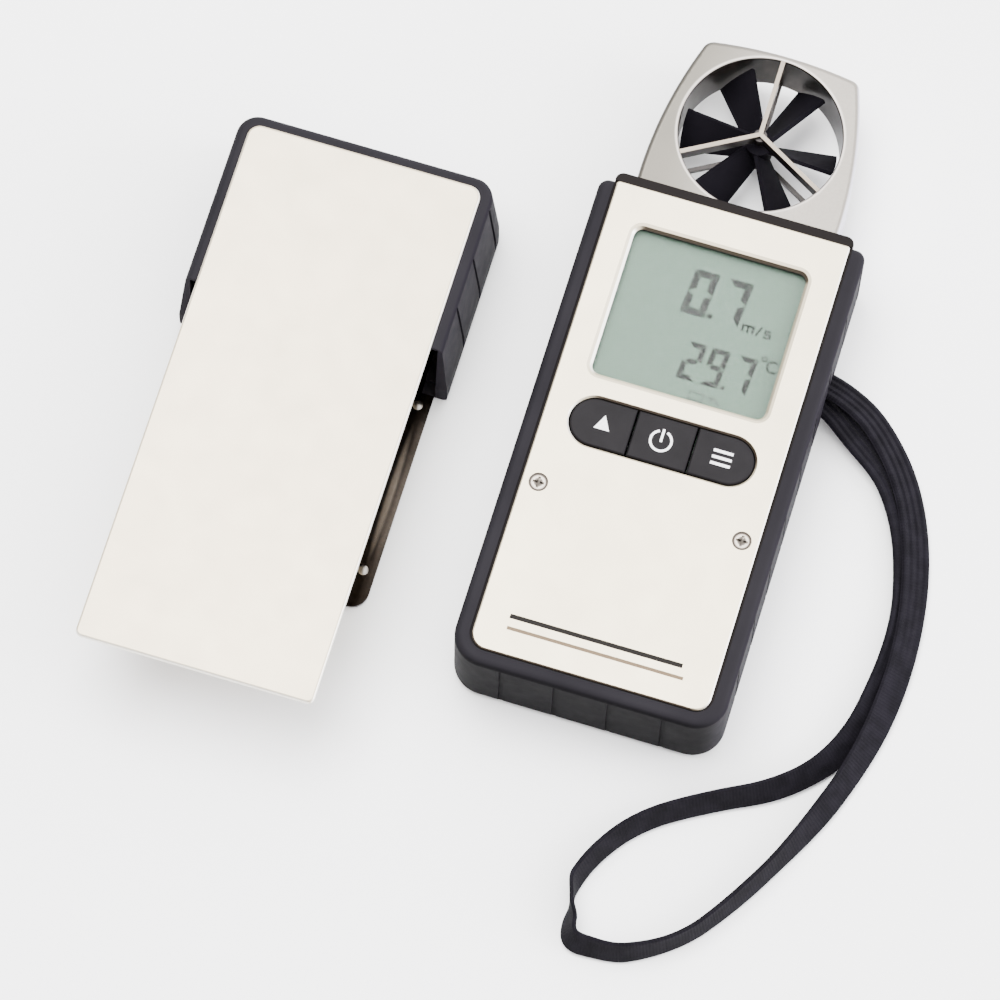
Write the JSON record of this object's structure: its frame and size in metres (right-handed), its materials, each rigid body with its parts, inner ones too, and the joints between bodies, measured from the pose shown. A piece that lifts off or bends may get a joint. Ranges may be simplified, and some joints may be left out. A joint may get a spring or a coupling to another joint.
{
  "type": "vane anemometer",
  "caption": "Pocket vane anemometer with a display, three keys, a small vane head, a slip-off hard cover lying beside it and a wrist strap.",
  "frame": {"origin": "centre of the flat back of the meter's case, on the table it lies on", "axes": "+X to the right of the display, +Y towards the vane head, +Z out of the front plate"},
  "size_m": [0.135, 0.1608, 0.0202],
  "materials": {
    "plate": "satin",
    "head_metal": "satin metallic",
    "rear_case": "fine texture",
    "rubber_band": "matte",
    "gasket": "matte",
    "window": "polished",
    "display": "reflective grey-green",
    "board": "solder mask",
    "chip": "matte",
    "steel": "brushed",
    "key_rubber": "matte",
    "jewel": "polished",
    "rotor_plastic": "satin",
    "magnet": "ground",
    "sensor_bead": "epoxy",
    "flex": "flexible film",
    "strap_fabric": "ribbed weave"
  },
  "bodies": {
    "case": {"battery_contact_side": "steel", "battery_contact_top": "steel", "clock_crystal": "steel", "coin_cell": "steel", "controller_chip": "chip", "dome_switches": "steel", "front_jewel": "jewel", "front_plate": "plate", "front_screws": "steel", "front_shell": "rear_case", "front_spider": "head_metal", "lcd_connectors": "gasket", "lcd_gasket": "gasket", "lcd_panel": "display", "lcd_window": "window", "main_board": "board", "pickup_sensor": "chip", "rear_jewel": "jewel", "rear_screws": "steel", "rear_shell": "rear_case", "rear_spider": "head_metal", "rubber_bumper": "rubber_band", "sensor_ribbon": "flex", "strap_pin": "steel", "strap_tab": "strap_fabric", "temperature_sensor": "sensor_bead", "vane_housing": "head_metal", "wrist_strap": "strap_fabric"},
    "rotor": {"rotor": "rotor_plastic", "rotor_shaft": "steel", "rotor_magnet": "magnet"},
    "battery_door": {"battery_door": "rear_case", "battery_seal": "gasket"},
    "cover": {"cover_sleeve": "rubber_band", "cover_front_plate": "plate", "cover_back_plate": "plate", "cover_studs": "steel"},
    "key_up": {"key_up": "key_rubber"},
    "key_power": {"key_power": "key_rubber"},
    "key_mode": {"key_mode": "key_rubber"}
  },
  "joints": [
    {"name": "rotor_spin", "type": "hinge", "parent": "case", "child": "rotor", "pos_m": [0, 0.0604, 0.008], "axis": [0, 0, 1], "continuous": true},
    {"name": "key_up_press", "type": "slide", "parent": "case", "child": "key_up", "axis": [0, 0, -1], "range_m": [0, 0.0004], "stiffness_N_per_m": 500},
    {"name": "key_power_press", "type": "slide", "parent": "case", "child": "key_power", "axis": [0, 0, -1], "range_m": [0, 0.0004], "stiffness_N_per_m": 500},
    {"name": "key_mode_press", "type": "slide", "parent": "case", "child": "key_mode", "axis": [0, 0, -1], "range_m": [0, 0.0004], "stiffness_N_per_m": 500},
    {"name": "battery_door_turn", "type": "hinge", "parent": "case", "child": "battery_door", "pos_m": [0, -0.022, 0], "axis": [0, 0, 1], "range_deg": [0, 60]},
    {"name": "cover_slide", "type": "slide", "parent": "case", "child": "cover", "axis": [0, 1, 0], "range_m": [0, 0.08]}
  ]
}
